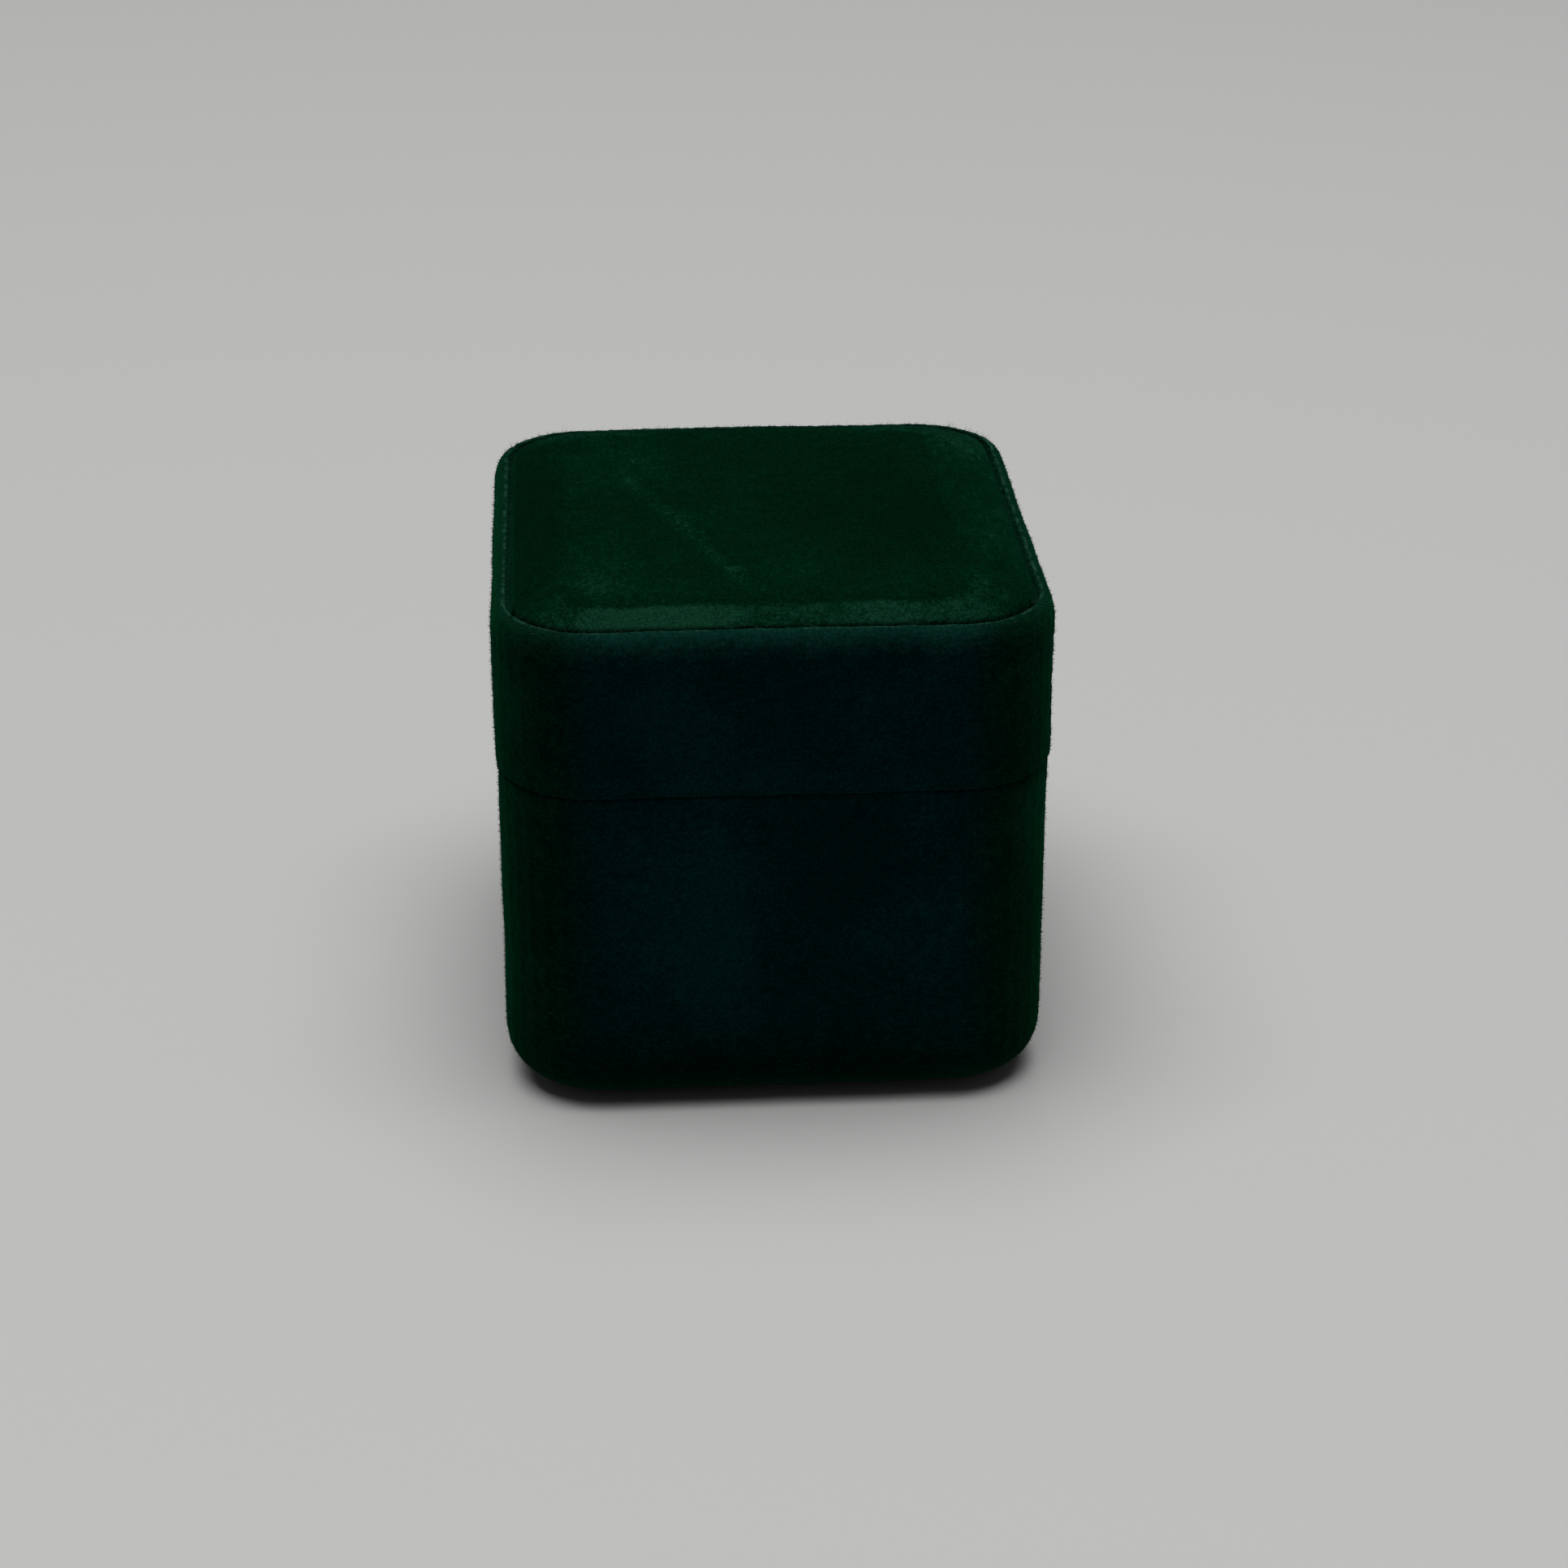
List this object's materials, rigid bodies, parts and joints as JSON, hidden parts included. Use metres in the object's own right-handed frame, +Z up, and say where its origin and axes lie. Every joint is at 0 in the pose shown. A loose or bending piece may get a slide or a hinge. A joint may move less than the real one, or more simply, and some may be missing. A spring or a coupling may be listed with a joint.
{
  "type": "ring box",
  "caption": "Small velvet-covered ring box with rounded corners, padded top, a lift-off lid over an inner collar, and a slotted ring pad inside.",
  "frame": {"origin": "middle of the underside, at the level of the surface the box stands on", "axes": "+Z up, +Y from the front to the back (the longer side of the plan), +X to the right as seen from the front"},
  "size_m": [0.05, 0.055, 0.0485],
  "materials": {
    "green_velvet": "short dense pile, dark emerald green, lighter where the pile is seen edge on",
    "grey_board": "matte greyboard",
    "card": "matte white card",
    "wadding": "soft polyester wadding",
    "foam": "open-cell foam",
    "ivory_satin": "ivory satin, soft sheen"
  },
  "bodies": {
    "base": {"base_floor_board": "grey_board", "base_velvet_band": "green_velvet", "base_wall_board": "grey_board", "bottom_panel_card": "card", "bottom_panel_padding": "wadding", "bottom_panel_velvet": "green_velvet", "neck_board": "grey_board", "neck_velvet": "green_velvet", "pad_riser_frame": "card", "ring_pad_foam_back": "foam", "ring_pad_foam_front": "foam", "ring_pad_shelf": "card", "ring_pad_velvet_back": "green_velvet", "ring_pad_velvet_front": "green_velvet"},
    "lid": {"lid_wall_board": "grey_board", "lid_top_board": "grey_board", "lid_velvet_band": "green_velvet", "lid_side_lining": "ivory_satin", "top_panel_card": "card", "top_panel_padding": "wadding", "top_panel_velvet": "green_velvet", "lid_pad_card": "card", "lid_pad_foam": "foam", "lid_pad_satin": "ivory_satin"}
  },
  "joints": [
    {"name": "lid_lift", "type": "slide", "parent": "base", "child": "lid", "axis": [0, 0, 1], "range_m": [0, 0.04]}
  ]
}
